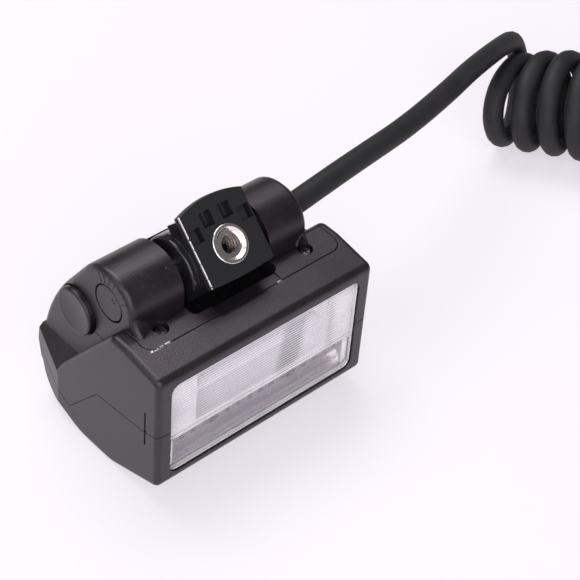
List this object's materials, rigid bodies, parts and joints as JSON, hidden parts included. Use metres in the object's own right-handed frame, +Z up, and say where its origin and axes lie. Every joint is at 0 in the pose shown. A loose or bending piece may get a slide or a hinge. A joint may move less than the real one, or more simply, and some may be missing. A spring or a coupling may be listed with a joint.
{
  "type": "macro twin flash head",
  "caption": "One head of a macro twin flash: wide clear window, tilting foot with tripod thread, release button and curly cord.",
  "frame": {"origin": "On the surface the head stands on, under the middle of the head's bounding box; the free cord and its plug are left out of that box.", "axes": "+Z up, -Y out of the window, +X toward the end where the cord leaves, parallel to the foot's hinge axis."},
  "size_m": [0.2357, 0.1058, 0.0612],
  "materials": {
    "shell_plastic": "satin black moulded plastic, fine grain",
    "disc_plastic": "satin black plastic with white index line",
    "window_clear": "clear moulded window with fine ribs",
    "guide_clear": "clear moulded light guide",
    "white_plastic": "white mask",
    "mirror_metal": "bright reflector",
    "lamp_glass": "clear lamp glass",
    "cap_rubber": "silicone end caps",
    "board_green": "circuit board laminate",
    "coil_copper": "wound copper",
    "part_plastic": "moulded component bodies",
    "screw_black": "blackened screws",
    "spring_steel": "bright steel",
    "inner_plastic": "black inner plastic",
    "foot_black": "matte black plate with a worn bright edge",
    "foot_plastic": "glossy black block",
    "bush_nickel": "nickel-plated brass",
    "cord_rubber": "matte black jacket",
    "plug_plastic": "black plug body",
    "pin_metal": "plated contacts"
  },
  "bodies": {
    "head": {"top_cover": "shell_plastic", "main_housing": "shell_plastic", "bottom_case": "shell_plastic", "flash_window": "window_clear", "lamp_frame": "white_plastic", "light_guide": "guide_clear", "reflector": "mirror_metal", "flash_tube": "lamp_glass", "tube_caps": "cap_rubber", "focus_lamps": "lamp_glass", "focus_board": "board_green", "circuit_board": "board_green", "trigger_coil": "coil_copper", "trigger_capacitor": "part_plastic", "wire_terminal": "part_plastic", "cover_screws": "screw_black", "detent_spring": "spring_steel", "lock_bracket": "inner_plastic", "button_spring": "spring_steel", "cord_gland": "cord_rubber", "cord_lead": "cord_rubber", "cord_coil": "cord_rubber", "cord_tail": "cord_rubber", "plug_boot": "cord_rubber", "plug_shell": "plug_plastic", "plug_pins": "pin_metal"},
    "foot": {"foot_drum": "foot_plastic", "foot_plate": "foot_black", "tripod_bush": "bush_nickel", "hinge_axle": "spring_steel", "index_disc": "disc_plastic", "detent_wheel": "spring_steel"},
    "release_button": {"release_button": "shell_plastic", "lock_slider": "inner_plastic"}
  },
  "joints": [
    {"name": "foot_tilt", "type": "hinge", "parent": "head", "child": "foot", "pos_m": [0, -0.0017, 0.0445], "axis": [1, 0, 0], "range_deg": [-75, 15]},
    {"name": "release_press", "type": "slide", "parent": "head", "child": "release_button", "axis": [1, 0, 0], "range_m": [0, 0.0015], "stiffness_N_per_m": 600, "springref_m": -0.001, "deforming": ["button_spring"]}
  ]
}
